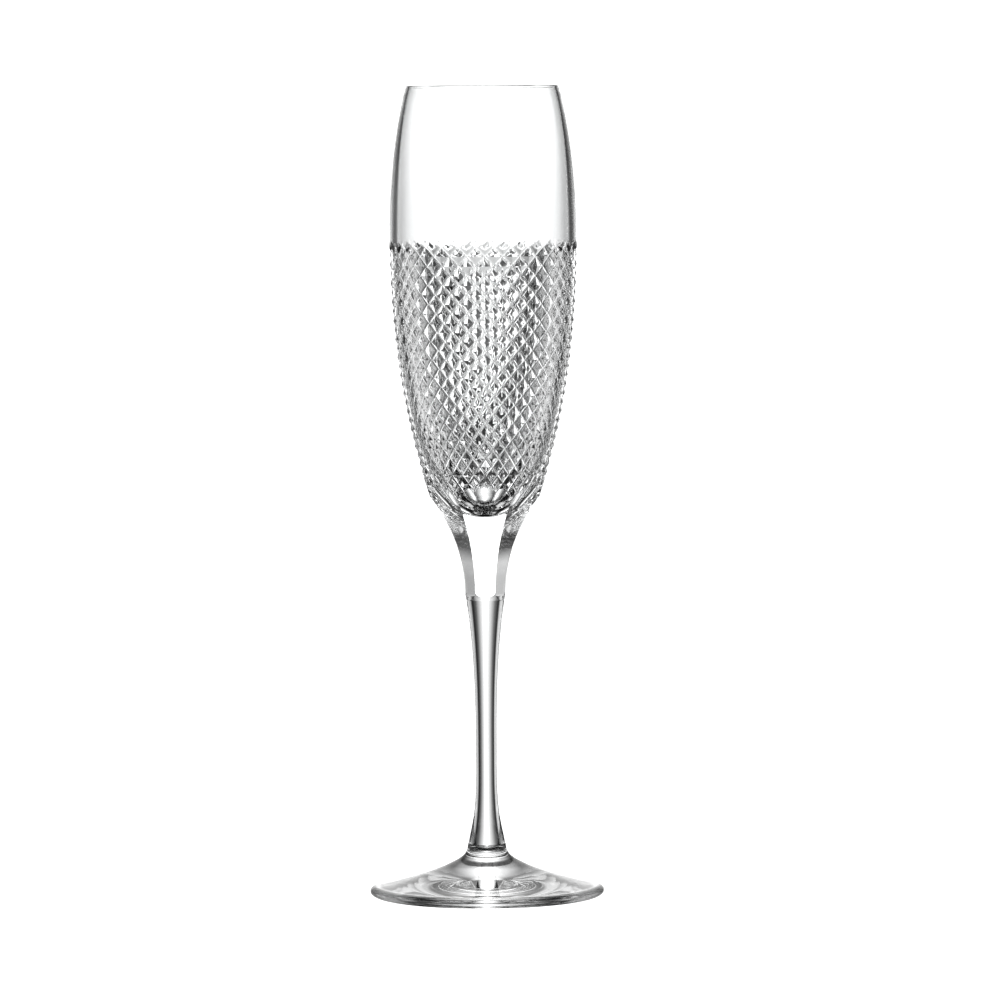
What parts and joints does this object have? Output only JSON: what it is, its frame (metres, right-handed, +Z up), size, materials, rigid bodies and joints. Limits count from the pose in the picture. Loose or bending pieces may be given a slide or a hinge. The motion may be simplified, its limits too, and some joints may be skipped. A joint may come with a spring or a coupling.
{
  "type": "champagne flute",
  "caption": "Stemmed champagne flute of cut crystal: a tall bowl with a clear rim and a diamond-cut band, flat panels round its base, a slim drawn stem and a round foot.",
  "frame": {"origin": "middle of the foot's resting plane, at the bottom centre of the part", "axes": "+Z up along the glass's axis towards the rim; one flat panel at the base of the bowl faces -Y"},
  "size_m": [0.0724, 0.0724, 0.25],
  "materials": {
    "bowl_crystal": "clear polished crystal, diamond cut below a plain rim",
    "stem_crystal": "clear fire-polished crystal with flat cut panels at its top",
    "foot_crystal": "clear polished crystal with faint rings from forming"
  },
  "bodies": {
    "root": {"bowl": "bowl_crystal", "stem": "stem_crystal", "foot": "foot_crystal"}
  },
  "joints": []
}
